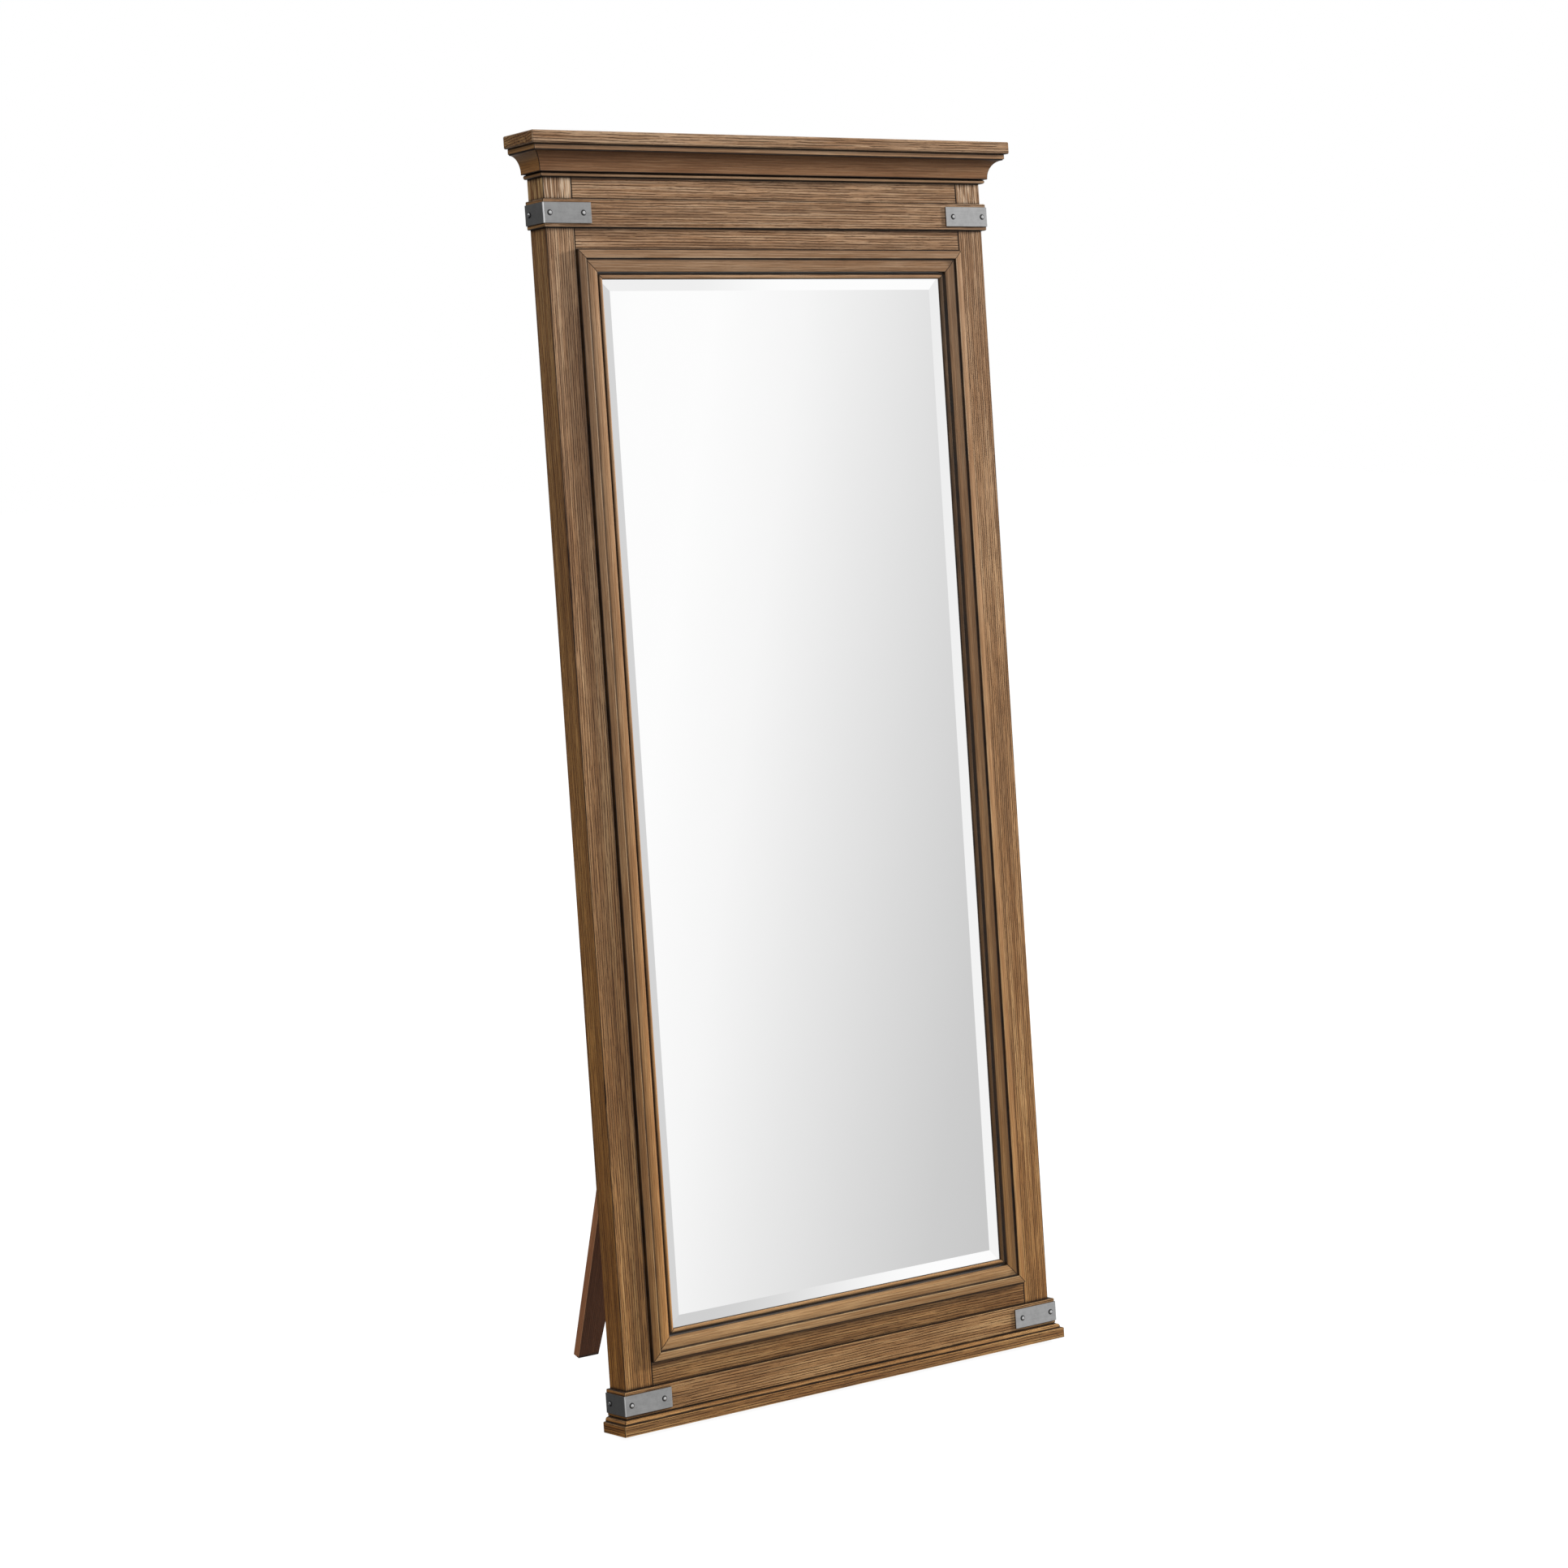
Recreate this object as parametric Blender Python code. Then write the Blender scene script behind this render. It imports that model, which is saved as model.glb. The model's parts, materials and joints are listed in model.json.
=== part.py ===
"""Leaning floor mirror on a folding easel stand, as separate pieces with real joints.

Three sets of coordinates are used, all in metres.
Frame pieces are drawn upright: x to the viewer's right, y backwards from the posts' front
faces, z up from the square-cut bottom. The empty lean_pivot then leans them all back about
the bottom back edge.
Hinge pieces on the frame are drawn round the hinge pin, in the same leaning directions.
Stand pieces are drawn hanging from the hinge pin: y backwards, z up along the legs.
"""

import math

import bmesh
import bpy
from mathutils import Matrix, Vector

# Clearances, eased edges, and how finely curves are divided
GAP = 0.0003
MITRE_SHIFT = GAP * math.sqrt(2)
ARRIS = 0.0012
ARC_STEPS = 8
ROUND_SIDES = 24

# Leaning frame, overall
FRAME_HEIGHT = 1.980
FRAME_WIDTH = 0.854
HALF_WIDTH = FRAME_WIDTH / 2
FRAME_DEPTH = 0.0425
LEAN = math.radians(6.25)

# Posts and rails
POST_WIDTH = 0.051
RAIL_HALF_LENGTH = HALF_WIDTH - POST_WIDTH - GAP
RAIL_THICKNESS = 0.022
BOTTOM_RAIL_TOP = 0.1022
TOP_RAIL_BOTTOM = 1.8064

# Crown: cap board, fillet and cove, neck bead
CAP_THICKNESS = 0.0193
CAP_OUT = 0.0378
CAP_CHAMFER = 0.0016
CAP_BOTTOM = FRAME_HEIGHT - CAP_THICKNESS
CROWN_TOP = CAP_BOTTOM - GAP
FILLET_OUT = 0.0315
FILLET_BOTTOM = 1.9512
QUIRK = 0.0016
COVE_OUT = 0.0105
COVE_BOTTOM = 1.9240
CROWN_BOTTOM = 1.9222
NECK_TOP = CROWN_BOTTOM - GAP
NECK_BOTTOM = 1.9153
NECK_OUT = 0.0068

# Belt round the top, plinth band and shoe moulding round the bottom
BELT_TOP = 1.8822
BELT_BOTTOM = 1.8393
BELT_OUT = 0.0057
PLINTH_TOP = 0.0661
PLINTH_BOTTOM = 0.0246
PLINTH_OUT = 0.0070
BAND_CHAMFER = 0.0010
SHOE_OUT = 0.0165
SHOE_FACE_TOP = 0.0166
SHOE_TOP = PLINTH_BOTTOM - GAP
SHOE_STEP_OUT = 0.0122
SHOE_NECK_OUT = 0.0082

# Mitred mirror frame, measured inwards from its outer edge
SURROUND_HALF_WIDTH = RAIL_HALF_LENGTH
SURROUND_BOTTOM = BOTTOM_RAIL_TOP + GAP
SURROUND_TOP = TOP_RAIL_BOTTOM - GAP
SURROUND_BACK = RAIL_THICKNESS
REBATE_INSET = 0.0367
LIP_UNDERSIDE = 0.0072

# Mirror and boards behind it
GLASS_THICKNESS = 0.005
GLASS_BEVEL_WIDTH = 0.025
GLASS_BEVEL_DROP = 0.0022
BACK_PANEL_THICKNESS = 0.004
BACK_PANEL_LAP = 0.040

# Hinge rail across the back, and the hinge pin that it carries
PIN_HEIGHT = 0.970
HINGE_RAIL_HALF_HEIGHT = 0.070
KNUCKLE_RADIUS = 0.0032
PIN_RADIUS = 0.00155
BORE_RADIUS = 0.00162
PIN_STANDOFF = 0.0036
LEAF_THICKNESS = 0.0016
LEAF_LENGTH = 0.038
LEAF_TOP = 0.0040
HINGE_WIDTH = 0.050
PIN_HEAD_RADIUS = 0.0027
PIN_HEAD_LENGTH = 0.0012

# Stand
STAND_LEAN = math.radians(13.5)
OPENING_ANGLE = LEAN + STAND_LEAN
LEG_THICKNESS = 0.015
LEG_OUTER = 0.261
LEG_FOOT_WIDTH = 0.040
LEG_TOP_WIDTH = 0.080
LEG_TAPER_HEIGHT = 0.500
LEG_HEEL = 0.050
STAND_RAIL_HALF_LENGTH = LEG_OUTER - LEG_TOP_WIDTH - GAP
STAND_TOP_RAIL = (-0.090, -0.020)
STRETCHER_HEIGHT = 0.060
HINGE_X = LEG_OUTER - LEG_TOP_WIDTH / 2
PIN_LEVEL = PIN_HEIGHT * math.cos(LEAN) - PIN_STANDOFF * math.sin(LEAN)
LEG_LENGTH = (PIN_LEVEL + PIN_STANDOFF * math.sin(STAND_LEAN)) / math.cos(STAND_LEAN)

# Steel corner straps and their dome-head screws
STRAP_THICKNESS = 0.0017
STRAP_HALF_HEIGHT = 0.0156
STRAP_END_X = 0.3475
STRAP_BEND_RADIUS = 0.0024
STRAP_CORNER_CUT = 0.0008
UPPER_STRAP_LEVEL = 1.8609
LOWER_STRAP_LEVEL = 0.0450
POST_SCREW_X = 0.4230
RAIL_SCREW_X = 0.3620
SIDE_SCREW_Y = 0.0312
SCREW_HEAD_RADIUS = 0.0036
SCREW_HEAD_HEIGHT = 0.0021
SCREW_SHANK_RADIUS = 0.0014
SCREW_HOLE_RADIUS = 0.0017
SCREW_LENGTH = 0.016
SCREW_SIDES = 14

SIDES = (("left", -1), ("right", 1))

# Finishes: linear colour, roughness, metallic
FINISHES = {
    "stained_wood": ((0.25, 0.145, 0.078), 0.55, 0.0),
    "stand_wood": ((0.17, 0.088, 0.055), 0.50, 0.0),
    "backing_board": ((0.16, 0.10, 0.06), 0.85, 0.0),
    "brushed_steel": ((0.42, 0.42, 0.41), 0.38, 1.0),
    "bright_steel": ((0.62, 0.62, 0.61), 0.22, 1.0),
    "hinge_steel": ((0.55, 0.54, 0.52), 0.35, 1.0),
    "silvered_glass": ((0.86, 0.88, 0.88), 0.02, 1.0),
}


# ---------------------------------------------------------------- scene and objects

def clear_scene():
    for old in list(bpy.data.objects):
        bpy.data.objects.remove(old, do_unlink=True)


def make_material(node_name, finish):
    colour, roughness, metallic = FINISHES[finish]
    material = bpy.data.materials.new(node_name)
    material.use_nodes = True
    shader = material.node_tree.nodes["Principled BSDF"]
    shader.inputs["Base Color"].default_value = (*colour, 1.0)
    shader.inputs["Roughness"].default_value = roughness
    shader.inputs["Metallic"].default_value = metallic
    return material


def make_pivot(name, location, angle, parent=None):
    """An empty at location, turned by angle about x."""
    pivot = bpy.data.objects.new(name, None)
    bpy.context.scene.collection.objects.link(pivot)
    pivot.location = location
    pivot.rotation_euler = (angle, 0.0, 0.0)
    pivot.parent = parent
    return pivot


def finish_piece(name, bm, finish, parent, offset=(0.0, 0.0, 0.0)):
    """Turns a bmesh into a named object with its own material under a pivot."""
    bmesh.ops.recalc_face_normals(bm, faces=bm.faces)
    mesh = bpy.data.meshes.new(name)
    bm.to_mesh(mesh)
    bm.free()
    piece = bpy.data.objects.new(name, mesh)
    bpy.context.scene.collection.objects.link(piece)
    piece.data.materials.append(make_material(name, finish))
    piece.parent = parent
    piece.location = offset
    return piece


# ---------------------------------------------------------------- shapes

def loft(rings):
    """A closed bmesh through rings of points, capped at both ends."""
    bm = bmesh.new()
    loops = [[bm.verts.new(point) for point in ring] for ring in rings]
    count = len(loops[0])
    for near, far in zip(loops, loops[1:]):
        for i in range(count):
            j = (i + 1) % count
            bm.faces.new((near[i], near[j], far[j], far[i]))
    bm.faces.new(loops[0])
    bm.faces.new(loops[-1])
    return bm


def box(low, high):
    """A closed block between two opposite corners."""
    (x0, y0, z0), (x1, y1, z1) = low, high
    bottom = [(x0, y0, z0), (x1, y0, z0), (x1, y1, z0), (x0, y1, z0)]
    top = [(x, y, z1) for x, y, _ in bottom]
    return loft([bottom, top])


def ease(bm, width, wanted):
    """Chamfers the edges that wanted(edge) picks."""
    edges = [edge for edge in bm.edges if wanted(edge)]
    bmesh.ops.bevel(bm, geom=edges, offset=width, segments=1, affect="EDGES")


def runs_along(axis):
    """Picks edges parallel to an axis (0, 1 or 2)."""
    def wanted(edge):
        direction = (edge.verts[1].co - edge.verts[0].co).normalized()
        return abs(direction[axis]) > 0.999
    return wanted


def cylinder(radius, length, sides=ROUND_SIDES):
    """A closed cylinder along x, centred on the origin."""
    bm = bmesh.new()
    along_x = Matrix.Rotation(math.pi / 2, 4, "Y")
    bmesh.ops.create_cone(
        bm, cap_ends=True, segments=sides, radius1=radius, radius2=radius,
        depth=length, matrix=along_x,
    )
    return bm


def turned(profile, sides):
    """A solid of revolution about z from (radius, z) points that start and end on the axis."""
    bm = bmesh.new()
    verts = [bm.verts.new((radius, 0.0, z)) for radius, z in profile]
    edges = [bm.edges.new(pair) for pair in zip(verts, verts[1:])]
    bmesh.ops.spin(
        bm, geom=verts + edges, cent=(0, 0, 0), axis=(0, 0, 1), angle=2 * math.pi,
        steps=sides, use_merge=True,
    )
    bmesh.ops.remove_doubles(bm, verts=bm.verts, dist=1e-6)
    return bm


def arc(centre, radii, start, end, steps=ARC_STEPS):
    """Points on an ellipse's arc, angles in degrees, both ends included."""
    points = []
    for i in range(steps + 1):
        angle = math.radians(start + (end - start) * i / steps)
        points.append((
            centre[0] + radii[0] * math.cos(angle),
            centre[1] + radii[1] * math.sin(angle),
        ))
    return points


# ---------------------------------------------------------------- outlines
# An outline for a wrapped moulding is a list of (out, z): out is how far a point stands
# out from the posts' faces. An outline for the mirror frame is a list of (inset, y).

def band_outline(bottom, top, out):
    return [
        (GAP, bottom),
        (out - BAND_CHAMFER, bottom),
        (out, bottom + BAND_CHAMFER),
        (out, top - BAND_CHAMFER),
        (out - BAND_CHAMFER, top),
        (GAP, top),
    ]


def crown_outline():
    cove_top_out = FILLET_OUT - QUIRK
    cove_radii = (cove_top_out - COVE_OUT, FILLET_BOTTOM - COVE_BOTTOM)
    cove = arc((cove_top_out, COVE_BOTTOM), cove_radii, 90, 180)
    return [
        (GAP, CROWN_TOP),
        (FILLET_OUT, CROWN_TOP),
        (FILLET_OUT, FILLET_BOTTOM + QUIRK),
        (cove_top_out, FILLET_BOTTOM + QUIRK),
        *cove,
        (COVE_OUT, CROWN_BOTTOM),
        (GAP, CROWN_BOTTOM),
    ]


def neck_outline():
    half_height = (NECK_TOP - NECK_BOTTOM) / 2
    round_out = NECK_OUT - half_height
    bead = arc((round_out, NECK_BOTTOM + half_height), (half_height, half_height), 90, -90)
    return [(GAP, NECK_TOP), *bead, (GAP, NECK_BOTTOM)]


def shoe_outline():
    ogee_rise = SHOE_TOP - SHOE_FACE_TOP - 2 * ARRIS
    ogee_run = SHOE_STEP_OUT - SHOE_NECK_OUT
    ogee = arc((SHOE_NECK_OUT, SHOE_FACE_TOP + ARRIS), (ogee_run, ogee_rise), 0, 90, 5)
    return [
        (GAP, 0.0),
        (SHOE_OUT, 0.0),
        (SHOE_OUT, SHOE_FACE_TOP - ARRIS),
        (SHOE_OUT - ARRIS, SHOE_FACE_TOP),
        (SHOE_STEP_OUT, SHOE_FACE_TOP),
        *ogee,
        (SHOE_NECK_OUT - ARRIS, SHOE_TOP - ARRIS),
        (SHOE_NECK_OUT - ARRIS, SHOE_TOP),
        (GAP, SHOE_TOP),
    ]


def surround_outline():
    """Outer slope, step, shallow swell, quirk, sight bead, then the rebate for the glass."""
    slope = [(0.0007, -0.0059), (0.0040, -0.0066), (0.0085, -0.0072), (0.0125, -0.0075)]
    swell = [(0.0165, -0.0034), (0.0210, -0.0042), (0.0265, -0.0046), (0.0310, -0.0042)]
    bead = arc((0.0413, 0.0022), (0.0039, 0.0042), -150, 70)
    return [
        (0.0, SURROUND_BACK),
        (0.0, -0.0052),
        *slope,
        (0.0136, -0.0068),
        (0.0141, -0.0034),
        *swell,
        (0.0339, -0.0034),
        (0.0345, -0.0026),
        (0.0347, 0.0034),
        (0.0372, 0.0034),
        *bead,
        (0.0420, LIP_UNDERSIDE),
        (REBATE_INSET, LIP_UNDERSIDE),
        (REBATE_INSET, SURROUND_BACK),
    ]


# ---------------------------------------------------------------- leaning frame

def add_frame_piece(name, bm, finish, lean_pivot):
    return finish_piece(name, bm, finish, lean_pivot, (0.0, -FRAME_DEPTH, 0.0))


def add_posts(lean_pivot):
    for side, sign in SIDES:
        inner = sign * (HALF_WIDTH - POST_WIDTH)
        outer = sign * HALF_WIDTH
        outline = [
            (inner, FRAME_DEPTH),
            (inner, ARRIS / 2),
            (inner + sign * ARRIS / 2, 0.0),
            (outer - sign * ARRIS, 0.0),
            (outer, ARRIS),
            (outer, FRAME_DEPTH),
        ]
        rings = [[(x, y, z) for x, y in outline] for z in (0.0, CROWN_TOP)]
        add_frame_piece(f"post_{side}", loft(rings), "stained_wood", lean_pivot)


def add_rails(lean_pivot):
    spans = {"bottom_rail": (0.0, BOTTOM_RAIL_TOP), "top_rail": (TOP_RAIL_BOTTOM, CROWN_TOP)}
    for name, (bottom, top) in spans.items():
        rail = box((-RAIL_HALF_LENGTH, 0.0, bottom), (RAIL_HALF_LENGTH, RAIL_THICKNESS, top))
        add_frame_piece(name, rail, "stained_wood", lean_pivot)


def add_cap(lean_pivot):
    reach = HALF_WIDTH + CAP_OUT
    cap = box((-reach, -CAP_OUT, CAP_BOTTOM), (reach, FRAME_DEPTH, FRAME_HEIGHT))

    def shown_edge(edge):
        return all(vert.co.y < FRAME_DEPTH - 1e-6 for vert in edge.verts) or (
            runs_along(1)(edge)
        )
    ease(cap, CAP_CHAMFER, shown_edge)
    add_frame_piece("crown_cap", cap, "stained_wood", lean_pivot)


def add_wrapped_moulding(name, outline, lean_pivot):
    """A front piece and two side returns, mitred at the corners."""
    front = []
    for sign in (-1, 1):
        front.append([
            (sign * (HALF_WIDTH + out - MITRE_SHIFT), -out, z) for out, z in outline
        ])
    add_frame_piece(f"{name}_front", loft(front), "stained_wood", lean_pivot)
    for side, sign in SIDES:
        mitred = [(sign * (HALF_WIDTH + out), -out, z) for out, z in outline]
        square = [(sign * (HALF_WIDTH + out), FRAME_DEPTH, z) for out, z in outline]
        add_frame_piece(f"{name}_{side}", loft([mitred, square]), "stained_wood", lean_pivot)


def add_mirror_surround(lean_pivot):
    """Four mitred mouldings round the glass."""
    outline = surround_outline()
    middle = (SURROUND_TOP + SURROUND_BOTTOM) / 2
    half_height = (SURROUND_TOP - SURROUND_BOTTOM) / 2
    for side, sign in SIDES:
        rings = []
        for end in (-1, 1):
            rings.append([
                (
                    sign * (SURROUND_HALF_WIDTH - inset),
                    y,
                    middle + end * (half_height - inset - MITRE_SHIFT),
                )
                for inset, y in outline
            ])
        add_frame_piece(f"surround_{side}", loft(rings), "stained_wood", lean_pivot)
    for side, sign in (("bottom", -1), ("top", 1)):
        rings = []
        for end in (-1, 1):
            rings.append([
                (
                    end * (SURROUND_HALF_WIDTH - inset),
                    y,
                    middle + sign * (half_height - inset),
                )
                for inset, y in outline
            ])
        add_frame_piece(f"surround_{side}", loft(rings), "stained_wood", lean_pivot)


def add_glass_and_boards(lean_pivot):
    """Bevelled mirror in the rebate, its backing board, and the panel that closes the back."""
    half_x = SURROUND_HALF_WIDTH - REBATE_INSET - GAP
    bottom = SURROUND_BOTTOM + REBATE_INSET + GAP
    top = SURROUND_TOP - REBATE_INSET - GAP
    front = LIP_UNDERSIDE + GAP
    back = front + GLASS_THICKNESS

    def rectangle(shrink, y):
        x, low, high = half_x - shrink, bottom + shrink, top - shrink
        return [(-x, y, low), (x, y, low), (x, y, high), (-x, y, high)]

    glass = loft([
        rectangle(0.0, back),
        rectangle(0.0, front + GLASS_BEVEL_DROP),
        rectangle(GLASS_BEVEL_WIDTH, front),
    ])
    add_frame_piece("mirror_glass", glass, "silvered_glass", lean_pivot)

    board = box((-half_x, back + GAP, bottom), (half_x, SURROUND_BACK, top))
    add_frame_piece("glass_backing", board, "backing_board", lean_pivot)

    panel_front = SURROUND_BACK + GAP
    panel = box(
        (-RAIL_HALF_LENGTH, panel_front, BOTTOM_RAIL_TOP - BACK_PANEL_LAP),
        (RAIL_HALF_LENGTH, panel_front + BACK_PANEL_THICKNESS, TOP_RAIL_BOTTOM + BACK_PANEL_LAP),
    )
    add_frame_piece("back_panel", panel, "backing_board", lean_pivot)

    rail = box(
        (-RAIL_HALF_LENGTH, panel_front + BACK_PANEL_THICKNESS + GAP,
         PIN_HEIGHT - HINGE_RAIL_HALF_HEIGHT),
        (RAIL_HALF_LENGTH, FRAME_DEPTH, PIN_HEIGHT + HINGE_RAIL_HALF_HEIGHT),
    )
    add_frame_piece("hinge_rail", rail, "stand_wood", lean_pivot)


# ---------------------------------------------------------------- straps and screws

def strap_outline(sign, band_out):
    """The strap's L section in (x, y): along the front, round the corner, along the side."""
    inner = band_out + GAP
    outer = inner + STRAP_THICKNESS
    centre = (HALF_WIDTH + outer - STRAP_BEND_RADIUS, STRAP_BEND_RADIUS - outer)
    bend = arc(centre, (STRAP_BEND_RADIUS, STRAP_BEND_RADIUS), -90, 0, 4)
    points = [
        (STRAP_END_X, -inner),
        (STRAP_END_X, -outer + STRAP_CORNER_CUT / 2),
        (STRAP_END_X + STRAP_CORNER_CUT / 2, -outer),
        *bend,
        (HALF_WIDTH + outer, FRAME_DEPTH),
        (HALF_WIDTH + inner, FRAME_DEPTH),
        (HALF_WIDTH + inner, -inner),
    ]
    return [(sign * x, y) for x, y in points]


def screw():
    """A dome head over a plain shank, pointing along +z with its seat at the origin."""
    dome = arc((0.0, 0.0), (SCREW_HEAD_RADIUS, SCREW_HEAD_HEIGHT), 0, 90, 4)
    return turned([
        (0.0, -SCREW_LENGTH),
        (SCREW_SHANK_RADIUS, -SCREW_LENGTH + SCREW_SHANK_RADIUS),
        (SCREW_SHANK_RADIUS, 0.0),
        *dome[:-1],
        (0.0, SCREW_HEAD_HEIGHT),
    ], SCREW_SIDES)


def drill(pieces, seat, direction, number):
    """Bores a pilot hole behind seat into each piece, with one hidden cutter."""
    bm = cylinder(SCREW_HOLE_RADIUS, 2 * SCREW_LENGTH + 4 * GAP, SCREW_SIDES)
    turn = Vector((1, 0, 0)).rotation_difference(direction).to_matrix().to_4x4()
    bmesh.ops.transform(bm, matrix=Matrix.Translation(seat) @ turn, verts=bm.verts)
    cutter = finish_piece(
        f"screw_hole_{number}", bm, "stained_wood", pieces[0].parent, pieces[0].location,
    )
    cutter.hide_render = True
    cutter.display_type = "WIRE"
    for piece in pieces:
        hole = piece.modifiers.new("screw_hole", "BOOLEAN")
        hole.operation = "DIFFERENCE"
        hole.object = cutter


def add_straps(lean_pivot):
    """Four corner straps, each with two screws in front and one at the side."""
    levels = (
        ("upper", UPPER_STRAP_LEVEL, BELT_OUT, "belt", "top_rail"),
        ("lower", LOWER_STRAP_LEVEL, PLINTH_OUT, "plinth", "bottom_rail"),
    )
    for level_name, level, band_out, band, rail in levels:
        for side, sign in SIDES:
            outline = strap_outline(sign, band_out)
            ends = (level - STRAP_HALF_HEIGHT, level + STRAP_HALF_HEIGHT)
            strap = add_frame_piece(
                f"strap_{level_name}_{side}",
                loft([[(x, y, z) for x, y in outline] for z in ends]),
                "brushed_steel", lean_pivot,
            )
            add_strap_screws(strap, level_name, side, sign, level, band_out, band, rail)


def add_strap_screws(strap, level_name, side, sign, level, band_out, band, rail):
    seat_out = band_out + STRAP_THICKNESS + 2 * GAP
    post = bpy.data.objects[f"post_{side}"]
    front_band = bpy.data.objects[f"{band}_front"]
    side_band = bpy.data.objects[f"{band}_{side}"]
    screws = (
        ("post", (sign * POST_SCREW_X, -seat_out, level), (0, -1, 0), front_band, post),
        ("rail", (sign * RAIL_SCREW_X, -seat_out, level), (0, -1, 0), front_band,
         bpy.data.objects[rail]),
        ("side", (sign * (HALF_WIDTH + seat_out), SIDE_SCREW_Y, level), (sign, 0, 0),
         side_band, post),
    )
    for spot, seat, facing, band_piece, wood in screws:
        direction = Vector(facing)
        turn = Vector((0, 0, 1)).rotation_difference(direction).to_matrix().to_4x4()
        bm = screw()
        bmesh.ops.transform(bm, matrix=Matrix.Translation(seat) @ turn, verts=bm.verts)
        name = f"screw_{level_name}_{side}_{spot}"
        add_frame_piece(name, bm, "bright_steel", strap.parent)
        drill((strap, band_piece, wood), seat, direction, name)


# ---------------------------------------------------------------- hinges

def hinge_leaf(name, centre_x, plate_side, knuckles, parent):
    """A leaf with its rolled knuckles round the pin. plate_side is -1 for the frame, 1 for the leg."""
    near = plate_side * (KNUCKLE_RADIUS - LEAF_THICKNESS + GAP / 3)
    far = plate_side * (KNUCKLE_RADIUS + GAP / 3)
    low_y, high_y = min(near, far), max(near, far)
    half = HINGE_WIDTH / 2
    plate = box((centre_x - half, low_y, -LEAF_LENGTH), (centre_x + half, high_y, -LEAF_TOP))
    leaf = finish_piece(name, plate, "hinge_steel", parent)
    for index, (start, end) in enumerate(knuckles):
        barrel = cylinder(KNUCKLE_RADIUS, end - start)
        middle = centre_x + (start + end) / 2
        bmesh.ops.translate(barrel, vec=(middle, 0, 0), verts=barrel.verts)
        tongue = box(
            (centre_x + start, low_y, -LEAF_TOP - LEAF_THICKNESS), (centre_x + end, high_y, 0.0)
        )
        for part, bm in (("barrel", barrel), ("tongue", tongue)):
            add_hidden_tool(leaf, f"{name}_{part}_{index}", bm, "UNION")
    bore = cylinder(BORE_RADIUS, 2 * HINGE_WIDTH)
    bmesh.ops.translate(bore, vec=(centre_x, 0, 0), verts=bore.verts)
    add_hidden_tool(leaf, f"{name}_bore", bore, "DIFFERENCE")


def add_hidden_tool(piece, name, bm, operation):
    """Joins or cuts a piece with a hidden shape that shares its pivot."""
    tool = finish_piece(name, bm, "hinge_steel", piece.parent)
    tool.hide_render = True
    tool.display_type = "WIRE"
    step = piece.modifiers.new(operation.lower(), "BOOLEAN")
    step.operation = operation
    step.object = tool


def hinge_pin():
    """A pin along x with a flat head at each end."""
    inner = HINGE_WIDTH / 2 + GAP
    outer = inner + PIN_HEAD_LENGTH
    pin = turned([
        (0.0, -outer),
        (PIN_HEAD_RADIUS, -outer),
        (PIN_HEAD_RADIUS, -inner),
        (PIN_RADIUS, -inner),
        (PIN_RADIUS, inner),
        (PIN_HEAD_RADIUS, inner),
        (PIN_HEAD_RADIUS, outer),
        (0.0, outer),
    ], ROUND_SIDES)
    bmesh.ops.transform(pin, matrix=Matrix.Rotation(math.pi / 2, 4, "Y"), verts=pin.verts)
    return pin


def add_hinges(frame_pin, stand_pivot):
    """Two butt hinges: outer knuckles on the frame's leaf, the middle one on the leg's."""
    half = HINGE_WIDTH / 2
    third = HINGE_WIDTH / 3
    outer_knuckles = ((-half, -half + third - GAP), (half - third + GAP, half))
    middle_knuckle = ((-half + third, half - third),)
    for side, sign in SIDES:
        centre = sign * HINGE_X
        hinge_leaf(f"hinge_frame_leaf_{side}", centre, -1, outer_knuckles, frame_pin)
        hinge_leaf(f"hinge_leg_leaf_{side}", centre, 1, middle_knuckle, stand_pivot)
        pin = hinge_pin()
        bmesh.ops.translate(pin, vec=(centre, 0, 0), verts=pin.verts)
        finish_piece(f"hinge_pin_{side}", pin, "hinge_steel", frame_pin)


# ---------------------------------------------------------------- stand

def leg(sign):
    """A board that tapers towards its foot, with a heel bevelled to bear on the hinge rail."""
    outer = sign * LEG_OUTER
    outline = [
        (outer, -LEG_LENGTH),
        (outer - sign * LEG_FOOT_WIDTH, -LEG_LENGTH),
        (outer - sign * LEG_TOP_WIDTH, -LEG_LENGTH + LEG_TAPER_HEIGHT),
        (outer - sign * LEG_TOP_WIDTH, LEG_HEEL),
        (outer, LEG_HEEL),
    ]
    depths = (PIN_STANDOFF, PIN_STANDOFF + LEG_THICKNESS)
    bm = loft([[(x, y, z) for x, z in outline] for y in depths])
    normal = Vector((0.0, -math.cos(OPENING_ANGLE), math.sin(OPENING_ANGLE)))
    cut = bmesh.ops.bisect_plane(
        bm, geom=bm.verts[:] + bm.edges[:] + bm.faces[:],
        plane_co=normal * (PIN_STANDOFF - GAP), plane_no=normal, clear_outer=True,
    )
    rim = [item for item in cut["geom_cut"] if isinstance(item, bmesh.types.BMEdge)]
    bmesh.ops.contextual_create(bm, geom=rim)
    return bm


def add_stand(stand_pivot):
    for side, sign in SIDES:
        finish_piece(f"easel_leg_{side}", leg(sign), "stand_wood", stand_pivot)
    stretcher_bottom = -LEG_LENGTH + LEG_TAPER_HEIGHT
    spans = {
        "easel_top_rail": STAND_TOP_RAIL,
        "easel_stretcher": (stretcher_bottom, stretcher_bottom + STRETCHER_HEIGHT),
    }
    for name, (bottom, top) in spans.items():
        rail = box(
            (-STAND_RAIL_HALF_LENGTH, PIN_STANDOFF, bottom),
            (STAND_RAIL_HALF_LENGTH, PIN_STANDOFF + LEG_THICKNESS, top),
        )
        finish_piece(name, rail, "stand_wood", stand_pivot)


# ---------------------------------------------------------------- assembly

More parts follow.
